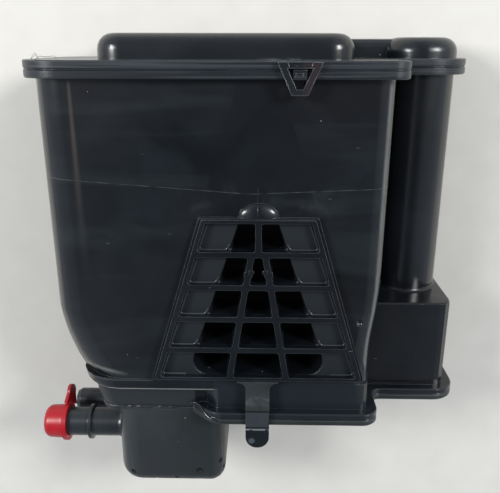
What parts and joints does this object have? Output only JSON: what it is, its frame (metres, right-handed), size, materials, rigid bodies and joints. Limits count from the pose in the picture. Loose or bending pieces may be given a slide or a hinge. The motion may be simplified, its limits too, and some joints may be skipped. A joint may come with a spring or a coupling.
{
  "type": "activated carbon vapour canister",
  "caption": "Moulded black canister with a wide main chamber, a round side chamber, a ribbed slide bracket with a latch tongue, a filter cup and hose spigots with a red dust cap.",
  "frame": {"origin": "middle of the canister's footprint, on the plane that its rear flange edges lie on", "axes": "+X towards the side chamber, +Y from the filter cup up to the end cover, +Z from the rear face to the slide bracket in front"},
  "size_m": [0.2264, 0.2326, 0.0905],
  "materials": {
    "shell_nylon": "satin moulded",
    "cover_nylon": "semi-gloss moulded",
    "lower_nylon": "matte moulded",
    "cap_vinyl": "semi-gloss soft vinyl",
    "white_nylon": "natural",
    "carbon": "dull pellets or block",
    "felt": "pressed fibre",
    "spring_steel": "drawn wire",
    "seal_rubber": "moulded",
    "foam": "open-cell"
  },
  "bodies": {
    "canister": {"housing": "shell_nylon", "end_cover": "cover_nylon", "lower_cover": "lower_nylon", "main_support_grid": "white_nylon", "main_lower_felt": "felt", "main_carbon_bed": "carbon", "main_upper_felt": "felt", "main_spring_left": "spring_steel", "main_spring_right": "spring_steel", "scrubber_lower_seal": "seal_rubber", "scrubber_honeycomb": "carbon", "scrubber_upper_seal": "seal_rubber", "side_lower_felt": "felt", "side_carbon_bed": "carbon", "side_upper_felt": "felt", "side_spring": "spring_steel", "vapour_pipe": "lower_nylon", "vapour_pipe_seal": "seal_rubber", "air_filter_foam": "foam", "filter_retainer": "white_nylon"},
    "latch": {"latch_tongue": "shell_nylon"},
    "cap": {"dust_cap": "cap_vinyl"},
    "main_plate": {"main_pressure_plate": "white_nylon"},
    "side_plate": {"side_pressure_plate": "white_nylon"}
  },
  "joints": [
    {"name": "cap_pull", "type": "slide", "parent": "canister", "child": "cap", "axis": [-1, 0, 0], "range_m": [0, 0.02]},
    {"name": "latch_flex", "type": "hinge", "parent": "canister", "child": "latch", "pos_m": [0.00705, -0.04555, 0.0837], "axis": [-1, 0, 0], "range_deg": [0, 6], "stiffness_Nm_per_rad": 0.2},
    {"name": "main_plate_slide", "type": "slide", "parent": "canister", "child": "main_plate", "axis": [0, 1, 0], "range_m": [0, 0.004], "stiffness_N_per_m": 800, "deforming": ["main_spring_left", "main_spring_right"]},
    {"name": "side_plate_slide", "type": "slide", "parent": "canister", "child": "side_plate", "axis": [0, 1, 0], "range_m": [0, 0.004], "stiffness_N_per_m": 300, "deforming": ["side_spring"]}
  ]
}
